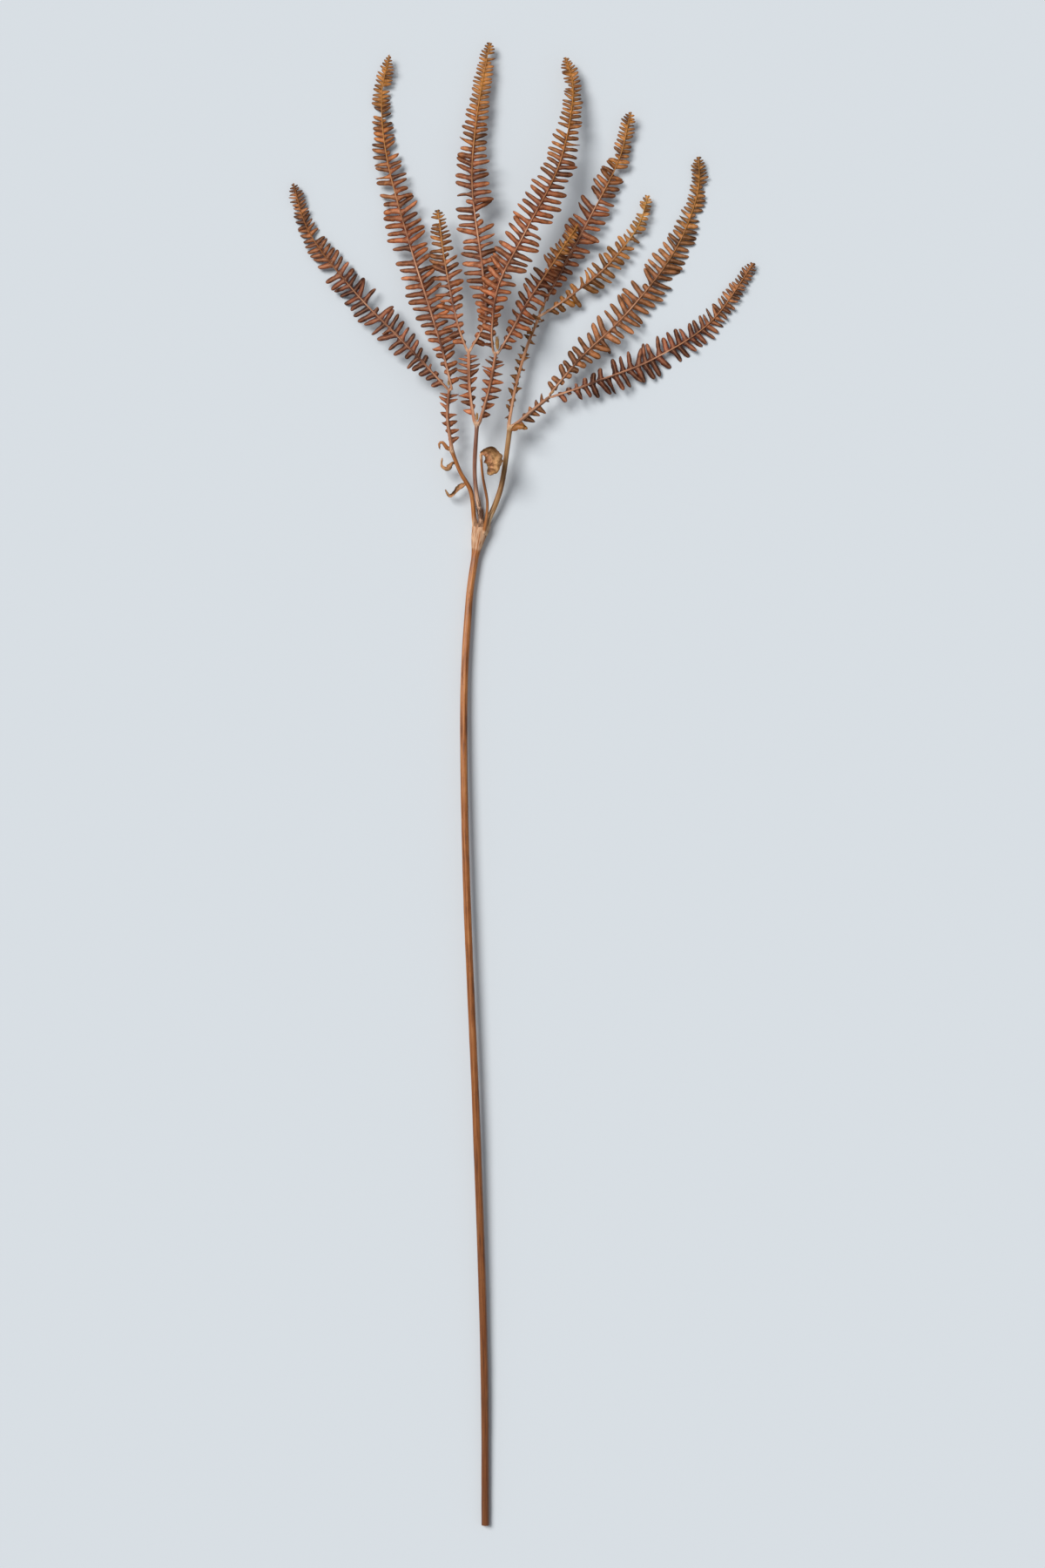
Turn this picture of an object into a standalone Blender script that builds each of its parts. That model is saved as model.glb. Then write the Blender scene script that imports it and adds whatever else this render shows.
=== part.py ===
"""A dried umbrella-fern frond, cut and laid down on a flat surface.

X runs to the right, Y from the cut end of the stipe to the pinna tips, Z up from the surface.
The frond is a tree of axes. A long bare stipe swells into a knuckle, three bare arms leave the
knuckle, each arm forks into short lobed branches, and each branch forks into comb-like pinnae.
Routes are given in millimetres from the middle of the knuckle, on the surface below it, and the
whole frond is moved at the end so that its box stands centred over the origin.
"""

import math

import bmesh
import bpy
import numpy as np
from mathutils import Matrix, Vector, geometry

MM = 0.001

# Axes
STIPE_RADIUS = 1.9
FOOT_SWELL = 0.1  # how much thicker the stipe is at its cut end
KNUCKLE_RADIUS = 3.1
KNUCKLE_FLARE = 1.36  # how much wider than deep the knuckle is
KNUCKLE_START = -13.0  # where the stipe begins to swell
KNUCKLE_WIDEST = 0.85  # how far up the knuckle it is widest, as a share of its length
KNUCKLE_SHOULDER = 0.75  # how much of the swelling is left at the knuckle's end
KNUCKLE_TOP = 0.97  # where along the knuckle that end begins
SWELL_POWER = 1.5  # how gently the swelling begins
STALK_SIDES = 2  # bevel resolution: eight sides
STIPE_STEPS = 6  # rings from one point of the stipe's route to the next

# Leaves
SHEET = 0.6  # thickness of every leaf
LOBE_PITCH = 4.3  # from one lobe to the next at a pinna's base
PITCH_LOSS = 0.7  # how much smaller the pitch grows, evenly, from base to tip
TIP_CROWDING = 1.8  # how much smaller again it grows over the pinna's outer half
CROWDING_POWER = 1.4
SHORT_FOOT = 0.5  # length of a pinna's first lobes, as a share of its longest
FOOT_SHARE = 0.22  # the share of a pinna over which they grow to full length
TAPER_START = 0.45  # where they begin to shorten again
TAPER_SPAN = 0.50
TAPER_DEPTH = 0.55
TIP_SHARE = 0.05  # the last lobes close up to a blunt tip
SHORTEST_LOBE = 0.4
LOBE_DROOP = 0.035  # fall at a lobe's end, for each square millimetre of its reach
LOBE_TIP_SHARE = 0.42  # width of a lobe's end, as a share of the pitch
LOBE_LEAN = 0.42  # how far a lobe leans towards the tip, for each unit of its length
MIDRIB_HALF_WIDTH = 0.75
MIDRIB_TAPER = 0.6  # how much of that width is lost at the tip
BRANCH_TIP_ROOM = 2.0  # kept free of lobes at the end of a lobed branch
BRANCH_END_LOBES = 0.75  # length of a branch's first and last lobes, as a share of its longest
BRANCH_FOOT_SWELL = 0.1  # how much thicker a branch is where it leaves its fork
FORK_OPENING = 0.2  # how fast the lobes inside a fork may grow with distance from it
LEAF_END_WIDTH = 0.22  # width of a small leaf's ends, as a share of its middle

# Buds
BUD_TAPER = 0.35  # how much slimmer than a true egg a bud is at its tip

COLOURS = {
    "caramel_stipe": ((0.36, 0.12, 0.035), 0.35),
    "tan_arm": ((0.42, 0.20, 0.08), 0.5),
    "copper_pinna": ((0.30, 0.095, 0.045), 0.6),
    "golden_leaf": ((0.42, 0.19, 0.06), 0.6),
    "dark_bud": ((0.10, 0.05, 0.03), 0.8),
}

STIPE_ROUTE = [
    (3.0, -506.0, 2.0),
    (2.4, -420.0, 3.4),
    (-1.5, -300.0, 5.6),
    (-6.5, -180.0, 6.0),
    (-8.0, -90.0, 4.6),
    (-5.6, -38.0, 3.4),
    (-2.6, -14.0, 3.2),
    (0.8, 4.9, 3.5),
]

# name: (route, radius at the start, radius at the end)
ARMS = {
    "left_arm": ([(-2.5, 6.0, 3.6), (-4.4, 21, 5.5), (-9.8, 31, 7.5), (-14.5, 42, 9.5)], 1.15, 0.95),
    "middle_arm": ([(0.8, 6.0, 3.0), (-1.5, 20, 4.6), (-2.4, 34, 9.0), (-1.0, 54.5, 16)], 1.15, 1.1),
    "right_arm": ([(4.5, 6.2, 3.8), (8.6, 16, 5.0), (12, 28, 7.0), (15.6, 53.5, 11)], 1.45, 1.3),
    "bud_stalk": ([(3.3, 5.4, 6.7), (4.0, 15.6, 9.0), (1.8, 28, 12.5), (0.8, 38, 15.5)], 0.7, 0.6),
    "left_stub": ([(-16.4, 42.8, 9.6), (-18.6, 45.6, 10), (-20.4, 45.2, 9.6), (-20.2, 43.4, 9)], 0.8, 0.4),
}

# name: (route, radius, longest lobe, roll in degrees, the side that faces its fork: -1 left, 1 right)
BRANCHES = {
    "left_branch": ([(-14.2, 43.2, 9.9), (-16.2, 58, 11.5), (-15.2, 72.3, 13)], 0.85, 6.0, 0, -1),
    "middle_left_branch": ([(-2.3, 55.6, 16.3), (-4.8, 72, 18), (-5.2, 91, 19.5)], 0.8, 6.5, 0, 1),
    "middle_right_branch": ([(0.3, 55.6, 16.3), (5.6, 74, 18.4), (8.6, 89.5, 20)], 0.8, 6.5, 0, -1),
    "right_edge_branch": ([(15.0, 54.9, 11.2), (18.4, 74, 9.6), (24, 94, 8.4), (31, 111, 8)], 0.8, 4.2, 42, 1),
    "right_branch": ([(17.6, 54.2, 11), (26.5, 61.5, 11), (36, 69, 10)], 0.9, 6.0, 0, -1),
}

# name: (route, longest lobe, roll in degrees, the side that faces its fork: -1 left, 1 right)
PINNAE = {
    "pinna_left_outer": (
        [(-16.8, 73.2, 13.1), (-36, 94, 11), (-62, 121, 6), (-86, 152, 2.6), (-95, 178, 3.5)],
        9.5, -8, 1,
    ),
    "pinna_left_inner": (
        [(-14.2, 73.5, 13.2), (-21, 100, 13), (-35, 145, 9), (-47, 190, 4), (-50, 222, 2.6), (-46, 243, 5)],
        10, 6, -1,
    ),
    "pinna_middle_1": (
        [(-6.6, 92.2, 19.6), (-11.5, 107, 21), (-17.5, 137, 18), (-21, 163, 13)],
        9, -12, 1,
    ),
    "pinna_middle_2": (
        [(-3.9, 92.4, 19.4), (3.2, 108, 16.8), (1.5, 134, 15), (-3.6, 175, 12), (-1.5, 210, 8.5),
         (5.3, 250, 5)],
        10, 5, -1,
    ),
    "pinna_middle_3": (
        [(7.2, 90.8, 20.4), (6.6, 102, 25), (10.5, 124, 27.5), (24.5, 152, 25), (40.5, 185, 19),
         (47.7, 222, 10), (44, 242, 7)],
        10.5, -6, 1,
    ),
    "pinna_middle_4": (
        [(10.1, 90.6, 20.0), (16.4, 101, 18.8), (23.4, 114, 17.4), (38, 137, 14), (50.3, 156.5, 10)],
        8.5, 4, -1,
    ),
    "pinna_right_1": (
        [(30.8, 112.4, 8.0), (42, 134, 7), (57, 162, 6.4), (71, 190, 4.6), (77, 214, 6)],
        9.5, -5, 1,
    ),
    "pinna_right_2": (
        [(32.6, 111.2, 8.0), (47, 121, 7.4), (64, 135, 6), (80, 155, 4), (86, 172, 4.6)],
        7.5, 7, -1,
    ),
    "pinna_right_3": (
        [(36.2, 70.4, 10.1), (51, 88, 9), (76, 113, 5), (99, 143, 2.4), (111, 172, 2.2), (112, 192, 4)],
        10, -6, 1,
    ),
    "pinna_right_4": (
        [(37.6, 69.0, 9.9), (60, 77, 8), (89, 89, 4), (118, 108, 2.3), (140, 138, 3.2)],
        9.5, 8, -1,
    ),
}

# name: (route, width, curl in degrees across the blade)
SMALL_LEAVES = {
    "stalk_leaf": (
        [(3.0, 38.6, 17.0), (5.6, 36.2, 17.2), (6.4, 32.6, 16.6), (4.8, 28.8, 15.2)],
        8.4, 60,
    ),
    "lower_scale_leaf": ([(-7.6, 24.6, 6.2), (-11.5, 22, 6.4), (-15.2, 19, 5.2), (-17.4, 22, 4.6)], 3.4, 80),
    "upper_scale_leaf": ([(-13.8, 35.4, 8.4), (-16.4, 32.6, 8.6), (-19.2, 34, 7.8), (-18.8, 38, 7)], 3.0, -80),
    "right_scale_leaf": ([(17.4, 52.0, 13.2), (20.5, 53.4, 14.4), (24.5, 52, 14)], 3.6, 70),
}

# name: (middle, half width, half length, heading in degrees)
BUDS = {
    "knuckle_bud": ((1.0, 9.6, 6.6), 1.1, 2.6, 92),
    "right_edge_bud": ((32.2, 113.4, 9.6), 0.5, 1.2, 55),
    "left_fork_bud": ((-15.6, 75.4, 14.8), 0.5, 1.3, 98),
    "middle_fork_bud": ((-1.1, 58.2, 18.3), 0.7, 2.0, 90),
    "yellow_fork_bud": ((9.3, 94.8, 21.8), 0.9, 3.4, 93),
    "right_fork_bud": ((37.3, 71.2, 11.8), 0.5, 1.2, 48),
}


def clear_scene():
    for item in list(bpy.data.objects):
        bpy.data.objects.remove(item, do_unlink=True)


def make_material(name):
    colour, roughness = COLOURS[name]
    material = bpy.data.materials.new(name)
    material.use_nodes = True
    shader = material.node_tree.nodes["Principled BSDF"]
    shader.inputs["Base Color"].default_value = (*colour, 1.0)
    shader.inputs["Roughness"].default_value = roughness
    shader.inputs["Metallic"].default_value = 0.0
    material.diffuse_color = (*colour, 1.0)
    return material


def smooth_route(points, steps=10):
    """Places in metres along a smooth curve through points given in millimetres."""
    points = [Vector(point) * MM for point in points]
    padded = [points[0] * 2 - points[1], *points, points[-1] * 2 - points[-2]]
    route = [points[0]]
    for before, start, end, after in zip(padded, padded[1:], padded[2:], padded[3:]):
        leave = start + (end - before) / 6
        arrive = end - (after - start) / 6
        route += geometry.interpolate_bezier(start, leave, arrive, end, steps)[1:]
    return route


class Spine:
    """A route that can be read at any distance from its start, with its side and up directions."""

    def __init__(self, points):
        self.places = np.array(smooth_route(points))
        steps = np.linalg.norm(np.diff(self.places, axis=0), axis=1)
        self.distances = np.concatenate(([0.0], np.cumsum(steps)))
        self.length = self.distances[-1]

    def place(self, distance):
        """A place on the route, which runs straight on past its end."""
        inside = min(max(distance, 0.0), self.length)
        found = Vector([np.interp(inside, self.distances, self.places[:, axis]) for axis in range(3)])
        if distance > self.length:
            found += self.forward(self.length) * (distance - self.length)
        return found

    def forward(self, distance):
        reach = 0.5 * MM
        inside = min(max(distance, reach), self.length - reach)
        return (self.place(inside + reach) - self.place(inside - reach)).normalized()

    def frame(self, distance, roll):
        """The directions to the right and up, turned by roll about the route."""
        forward = self.forward(distance)
        right = forward.cross(Vector((0, 0, 1))).normalized()
        up = right.cross(forward)
        turn = Matrix.Rotation(roll, 3, forward)
        return turn @ right, turn @ up


def add_object(name, data, material):
    item = bpy.data.objects.new(name, data)
    data.materials.append(material)
    frond.objects.link(item)
    item.parent = placing
    return item


def thicken(item):
    """Gives a sheet its thickness."""
    solid = item.modifiers.new("thickness", "SOLIDIFY")
    solid.thickness = SHEET * MM
    solid.offset = 0.0


def rest_on_surface(mesh, depth):
    """Lifts the points that would sink into the surface, as a leaf that is pressed on it."""
    for vertex in mesh.verts:
        vertex.co.z = max(vertex.co.z, depth)


def make_tube(name, points, radii, material, steps=4):
    """A stalk as a curve with filled ends, its radius read from radii in millimetres."""
    route = smooth_route(points, steps)
    curve = bpy.data.curves.new(name, "CURVE")
    curve.dimensions = "3D"
    curve.bevel_depth = MM
    curve.bevel_resolution = STALK_SIDES
    curve.use_fill_caps = True
    spline = curve.splines.new("POLY")
    spline.points.add(len(route) - 1)
    for index, (point, place) in enumerate(zip(spline.points, route)):
        point.co = (*place, 1.0)
        point.radius = radii(index / (len(route) - 1))
    return add_object(name, curve, material)


def tube_to_mesh(item):
    """The same stalk as a closed mesh, which can be shaped or joined."""
    depsgraph = bpy.context.evaluated_depsgraph_get()
    mesh = bpy.data.meshes.new_from_object(item.evaluated_get(depsgraph))
    mesh.name = item.name
    work = bmesh.new()
    work.from_mesh(mesh)
    bmesh.ops.remove_doubles(work, verts=work.verts, dist=0.00001)
    work.to_mesh(mesh)
    work.free()
    name = item.name
    material = item.data.materials[0]
    bpy.data.objects.remove(item, do_unlink=True)
    mesh.materials.clear()
    return add_object(name, mesh, material)


def make_stipe():
    """The stipe, with its last stretch swollen and flattened into the knuckle."""

    def radius(share):
        return STIPE_RADIUS + FOOT_SWELL * (1 - share)

    stipe = tube_to_mesh(make_tube("stipe", STIPE_ROUTE, radius, materials["caramel_stipe"], STIPE_STEPS))
    start, end = KNUCKLE_START * MM, STIPE_ROUTE[-1][1] * MM
    spine = Spine(STIPE_ROUTE)
    for vertex in stipe.data.vertices:
        if vertex.co.y < start:
            continue
        share = min((vertex.co.y - start) / (end - start), 1.0)
        swell = math.sin(math.pi / 2 * min(share / KNUCKLE_WIDEST, 1.0)) ** SWELL_POWER
        if share > KNUCKLE_TOP:
            swell *= KNUCKLE_SHOULDER
        deeper = 1 + (KNUCKLE_RADIUS / STIPE_RADIUS - 1) * swell
        wider = deeper * (1 + (KNUCKLE_FLARE - 1) * swell)
        middle = spine.place(spine.length - (end - vertex.co.y))
        vertex.co.x = middle.x + (vertex.co.x - middle.x) * wider
        vertex.co.z = middle.z + (vertex.co.z - middle.z) * deeper
    return stipe


def lobe_stations(length):
    """Where each lobe begins along a midrib, and where the last one ends."""
    stations = [0.0]
    while stations[-1] < length:
        share = stations[-1] / length
        crowding = TIP_CROWDING * max(2 * share - 1, 0.0) ** CROWDING_POWER
        stations.append(stations[-1] + (LOBE_PITCH - PITCH_LOSS * share - crowding) * MM)
    fit = length / stations[-1]
    return [station * fit for station in stations]


def lobe_length(share, longest):
    """How long a pinna's lobes are: shorter at its base, then even, then tapering to its tip."""
    base = SHORT_FOOT + (1 - SHORT_FOOT) * min(share / FOOT_SHARE, 1.0)
    tapered = min(max((share - TAPER_START) / TAPER_SPAN, 0.0), 1.0)
    taper = 1.0 - TAPER_DEPTH * tapered**2 * (3 - 2 * tapered)
    blunt = math.sqrt(min((1 - share) / TIP_SHARE, 1.0))
    return longest * min(base, taper) * blunt


def make_comb(name, points, longest, roll, fork_side, material, length_rule=lobe_length):
    """A pinna: a narrow strip along its midrib, with one lobe drawn out of each edge of it."""
    spine = Spine(points)
    stations = lobe_stations(spine.length)
    count = len(stations) - 1
    work = bmesh.new()
    bmesh.ops.create_grid(work, x_segments=count, y_segments=1, size=0.5)
    place_of = {}
    for vertex in work.verts:
        station = round((vertex.co.x + 0.5) * count)
        side = 1 if vertex.co.y > 0 else -1
        half = MIDRIB_HALF_WIDTH * MM * (1 - MIDRIB_TAPER * station / count)
        place_of[vertex] = (stations[station], side * half)
    edges = [edge for edge in work.edges if abs(edge.verts[0].co.y - edge.verts[1].co.y) < 0.5]
    for edge in edges:
        first, second = sorted(edge.verts, key=lambda vertex: place_of[vertex][0])
        middle = (place_of[first][0] + place_of[second][0]) / 2
        pitch = place_of[second][0] - place_of[first][0]
        side = 1 if place_of[first][1] > 0 else -1
        reach = length_rule(middle / spine.length, longest) * MM
        if side == fork_side:
            reach = min(reach, middle * FORK_OPENING)
        reach = max(reach, SHORTEST_LOBE * MM)
        drawn = bmesh.ops.extrude_edge_only(work, edges=[edge])["geom"]
        ends = [item for item in drawn if isinstance(item, bmesh.types.BMVert)]
        ends.sort(key=lambda vertex: vertex.co.x)
        tip = middle + LOBE_LEAN * reach
        half_tip = pitch * LOBE_TIP_SHARE / 2
        across = place_of[first][1] + side * reach
        place_of[ends[0]] = (tip - half_tip, across)
        place_of[ends[1]] = (tip + half_tip, across)
    for vertex, (along, across) in place_of.items():
        right, up = spine.frame(along, math.radians(roll))
        droop = LOBE_DROOP * (abs(across) / MM) * abs(across)
        vertex.co = spine.place(along) + right * across - up * droop
    rest_on_surface(work, SHEET * MM / 2)
    bmesh.ops.recalc_face_normals(work, faces=work.faces)
    mesh = bpy.data.meshes.new(name)
    work.to_mesh(mesh)
    work.free()
    item = add_object(name, mesh, material)
    thicken(item)
    return item


def make_branch(name, points, radius, longest, roll, fork_side):
    """A short stalk with lobes on both sides, joined into one body."""
    length = Spine(points).length / MM

    def even_lobes(share, longest):
        room = max((1 - share) * length - BRANCH_TIP_ROOM, 0.0) / LOBE_LEAN
        fullness = BRANCH_END_LOBES + (1 - BRANCH_END_LOBES) * math.sin(math.pi * share)
        return min(longest * fullness, room)

    def even_radius(share):
        return radius * (1 + BRANCH_FOOT_SWELL * (1 - share))

    stalk = tube_to_mesh(make_tube(name, points, even_radius, materials["copper_pinna"]))
    lobes = make_comb(name + "_lobes", points, longest, roll, fork_side, materials["copper_pinna"], even_lobes)
    frond.objects.unlink(lobes)
    cutters.objects.link(lobes)
    lobes.hide_render = True
    lobes.display_type = "WIRE"
    join = stalk.modifiers.new("lobes", "BOOLEAN")
    join.operation = "UNION"
    join.object = lobes


def make_small_leaf(name, points, width, curl):
    """A small leaf curled across its width, pointed at both ends."""
    spine = Spine(points)
    work = bmesh.new()
    bmesh.ops.create_grid(work, x_segments=8, y_segments=3, size=0.5)
    for vertex in work.verts:
        share = vertex.co.x + 0.5
        fullness = LEAF_END_WIDTH + (1 - LEAF_END_WIDTH) * math.sin(math.pi * share)
        half = width * MM * fullness / 2
        turn = math.radians(curl) * vertex.co.y
        right, up = spine.frame(share * spine.length, 0.0)
        across = 2 * vertex.co.y * half * math.cos(turn)
        rise = 2 * abs(vertex.co.y) * half * math.sin(abs(turn)) * math.copysign(1, curl)
        vertex.co = spine.place(share * spine.length) + right * across + up * rise
    rest_on_surface(work, SHEET * MM / 2)
    mesh = bpy.data.meshes.new(name)
    work.to_mesh(mesh)
    work.free()
    thicken(add_object(name, mesh, materials["golden_leaf"]))


def make_bud(name, middle, half_width, half_length, heading):
    """A pointed egg."""
    work = bmesh.new()
    bmesh.ops.create_uvsphere(work, u_segments=8, v_segments=6, radius=MM)
    for vertex in work.verts:
        taper = 1 - BUD_TAPER * max(vertex.co.z / MM, 0.0)
        vertex.co = Vector((vertex.co.x * half_width * taper, vertex.co.y * half_width * taper,
                            vertex.co.z * half_length))
    lie_down = Matrix.Rotation(math.radians(heading - 90), 4, "Z") @ Matrix.Rotation(math.radians(-90), 4, "X")
    bmesh.ops.transform(work, matrix=Matrix.Translation(Vector(middle) * MM) @ lie_down, verts=work.verts)
    mesh = bpy.data.meshes.new(name)
    work.to_mesh(mesh)
    work.free()
    add_object(name, mesh, materials["dark_bud"])


def centre_frond():
    """Moves the frond so that the middle of its box's underside is the origin."""
    depsgraph = bpy.context.evaluated_depsgraph_get()
    corners = []
    for item in frond.objects:
        if item.type in {"MESH", "CURVE"}:
            shown = item.evaluated_get(depsgraph)
            mesh = shown.to_mesh()
            corners += [shown.matrix_world @ vertex.co for vertex in mesh.vertices]
            shown.to_mesh_clear()
    low = Vector([min(corner[axis] for corner in corners) for axis in range(3)])
    high = Vector([max(corner[axis] for corner in corners) for axis in range(3)])
    placing.location = (-(low.x + high.x) / 2, -(low.y + high.y) / 2, -low.z)


clear_scene()
frond = bpy.data.collections.new("dried_fern_frond")
cutters = bpy.data.collections.new("cutters")
bpy.context.scene.collection.children.link(frond)
bpy.context.scene.collection.children.link(cutters)
materials = {name: make_material(name) for name in COLOURS}
placing = bpy.data.objects.new("placing", None)
frond.objects.link(placing)

make_stipe()
for name, (points, start_radius, end_radius) in ARMS.items():

    def taper(share, start_radius=start_radius, end_radius=end_radius):
        return start_radius + (end_radius - start_radius) * share

    make_tube(name, points, taper, materials["tan_arm"])
for name, (points, radius, longest, roll, fork_side) in BRANCHES.items():
    make_branch(name, points, radius, longest, roll, fork_side)
for name, (points, longest, roll, fork_side) in PINNAE.items():
    make_comb(name, points, longest, roll, fork_side, materials["copper_pinna"])
for name, (points, width, curl) in SMALL_LEAVES.items():
    make_small_leaf(name, points, width, curl)
for name, (middle, half_width, half_length, heading) in BUDS.items():
    make_bud(name, middle, half_width, half_length, heading)
bpy.context.view_layer.update()
centre_frond()
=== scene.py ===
import math
import random

import bmesh
import bpy
import numpy as np
from mathutils import Matrix, Vector, geometry, noise


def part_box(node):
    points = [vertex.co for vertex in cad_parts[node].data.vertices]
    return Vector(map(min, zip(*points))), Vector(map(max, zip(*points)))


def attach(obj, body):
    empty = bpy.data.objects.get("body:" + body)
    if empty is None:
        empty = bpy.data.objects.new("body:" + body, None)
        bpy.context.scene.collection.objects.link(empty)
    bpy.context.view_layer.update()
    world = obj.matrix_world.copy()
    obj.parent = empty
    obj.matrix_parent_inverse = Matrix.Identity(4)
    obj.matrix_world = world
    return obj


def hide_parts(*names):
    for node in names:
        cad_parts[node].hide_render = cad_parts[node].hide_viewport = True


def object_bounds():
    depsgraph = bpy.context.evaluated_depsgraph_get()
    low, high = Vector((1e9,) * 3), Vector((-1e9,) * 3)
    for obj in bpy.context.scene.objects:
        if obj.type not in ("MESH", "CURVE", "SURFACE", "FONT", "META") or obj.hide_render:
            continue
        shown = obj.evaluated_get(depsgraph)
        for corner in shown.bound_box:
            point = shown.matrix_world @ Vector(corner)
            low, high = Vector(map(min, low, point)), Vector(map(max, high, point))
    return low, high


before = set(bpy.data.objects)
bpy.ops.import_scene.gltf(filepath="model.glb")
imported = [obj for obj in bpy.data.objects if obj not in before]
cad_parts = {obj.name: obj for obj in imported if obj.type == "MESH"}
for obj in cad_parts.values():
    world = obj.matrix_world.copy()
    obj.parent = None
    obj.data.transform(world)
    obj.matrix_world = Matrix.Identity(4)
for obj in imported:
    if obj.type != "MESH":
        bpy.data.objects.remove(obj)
cad_low, cad_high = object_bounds()

# ------------------------------------------------------------------ tabletop, light and camera
# A plain pale matt tabletop under a wide soft lamp high on the left and a pale even sky. The
# camera hangs over the middle of the frond and looks straight down.
middle = (cad_low + cad_high) / 2
frond_length = cad_high.y - cad_low.y
MARGIN = 1.05  # how much longer the view is than the frond
CAMERA_HEIGHT = 1.6
SENSOR = 36.0  # millimetres along the picture's longer side
TABLE_SIZE = 60.0

table_work = bmesh.new()
bmesh.ops.create_grid(table_work, x_segments=1, y_segments=1, size=TABLE_SIZE)
table_mesh = bpy.data.meshes.new("tabletop")
table_work.to_mesh(table_mesh)
table_work.free()
tabletop = bpy.data.objects.new("tabletop", table_mesh)
bpy.context.scene.collection.objects.link(tabletop)
table_material = bpy.data.materials.new("pale_matt_tabletop")
table_material.use_nodes = True
table_shader = table_material.node_tree.nodes["Principled BSDF"]
table_shader.inputs["Base Color"].default_value = (0.68, 0.735, 0.79, 1.0)
table_shader.inputs["Roughness"].default_value = 0.9
table_shader.inputs["Specular IOR Level"].default_value = 0.1
table_mesh.materials.append(table_material)

soft_light = bpy.data.lights.new("soft_light", "SUN")
soft_light.energy = 2.9
soft_light.angle = math.radians(32)
soft_light.color = (1.0, 0.975, 0.94)
light_holder = bpy.data.objects.new("soft_light", soft_light)
light_holder.rotation_euler = Vector((0.62, -0.48, -1.0)).to_track_quat("-Z", "Y").to_euler()
bpy.context.scene.collection.objects.link(light_holder)

sky = bpy.data.worlds.new("pale_room")
sky.use_nodes = True
sky.node_tree.nodes["Background"].inputs["Color"].default_value = (0.95, 0.97, 1.0, 1.0)
sky.node_tree.nodes["Background"].inputs["Strength"].default_value = 0.30
bpy.context.scene.world = sky
bpy.context.scene.view_settings.view_transform = "Standard"

lens = bpy.data.cameras.new("camera")
lens.sensor_width = SENSOR
lens.lens = SENSOR * (CAMERA_HEIGHT - middle.z) / (frond_length * MARGIN)
camera = bpy.data.objects.new("camera", lens)
camera.location = (middle.x, middle.y, CAMERA_HEIGHT)
bpy.context.scene.collection.objects.link(camera)
bpy.context.scene.camera = camera

# ------------------------------------------------------------------ stipe
# The bare stalk of the frond: dry, hard and caramel brown, finely ribbed, cut straight across at
# its foot. Its last centimetre swells into the pale fibrous knuckle that the three arms leave.
MM = 0.001
KNUCKLE_BUD_PLACE = (1.0, 9.6)
bud_low, bud_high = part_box("knuckle_bud")
# Every route is given in millimetres from the middle of the knuckle, on the tabletop.
origin = Vector(
    (
        (bud_low[0] + bud_high[0]) / 2 - KNUCKLE_BUD_PLACE[0] * MM,
        (bud_low[1] + bud_high[1]) / 2 - KNUCKLE_BUD_PLACE[1] * MM,
        0.0,
    )
)


class Spine:
    """A smooth line through given points, read by the distance from its start."""

    def __init__(self, points, steps=12):
        points = [origin + Vector(point) * MM for point in points]
        padded = [points[0] * 2 - points[1], *points, points[-1] * 2 - points[-2]]
        route = [points[0]]
        for before, start, end, after in zip(padded, padded[1:], padded[2:], padded[3:]):
            leave = start + (end - before) / 6
            arrive = end - (after - start) / 6
            route += geometry.interpolate_bezier(start, leave, arrive, end, steps)[1:]
        self.places = np.array(route)
        lengths = np.linalg.norm(np.diff(self.places, axis=0), axis=1)
        self.distances = np.concatenate(([0.0], np.cumsum(lengths)))
        self.length = float(self.distances[-1])

    def place(self, distance):
        inside = min(max(distance, 0.0), self.length)
        found = Vector([np.interp(inside, self.distances, self.places[:, axis]) for axis in range(3)])
        if distance > self.length:
            found += self.forward(self.length) * (distance - self.length)
        return found

    def forward(self, distance):
        reach = 0.8 * MM
        inside = min(max(distance, reach), self.length - reach)
        return (self.place(inside + reach) - self.place(inside - reach)).normalized()

    def frame(self, distance, roll=0.0):
        """The directions to the right and up, turned by roll about the line."""
        forward = self.forward(distance)
        right = forward.cross(Vector((0, 0, 1))).normalized()
        up = right.cross(forward)
        turn = Matrix.Rotation(roll, 3, forward)
        return turn @ right, turn @ up


def start_work():
    """A bmesh with the attributes that the dry materials read."""
    work = bmesh.new()
    work.verts.layers.float.new("turn")
    work.verts.layers.float.new("pale")
    work.verts.layers.float_vector.new("grain")
    work.verts.layers.float_vector.new("blade")
    return work


# the rings of a rounded end, as angles up from its rim
DOME_RINGS = [math.radians(degrees) for degrees in (0, 25, 48, 66, 80, 88)]


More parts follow.
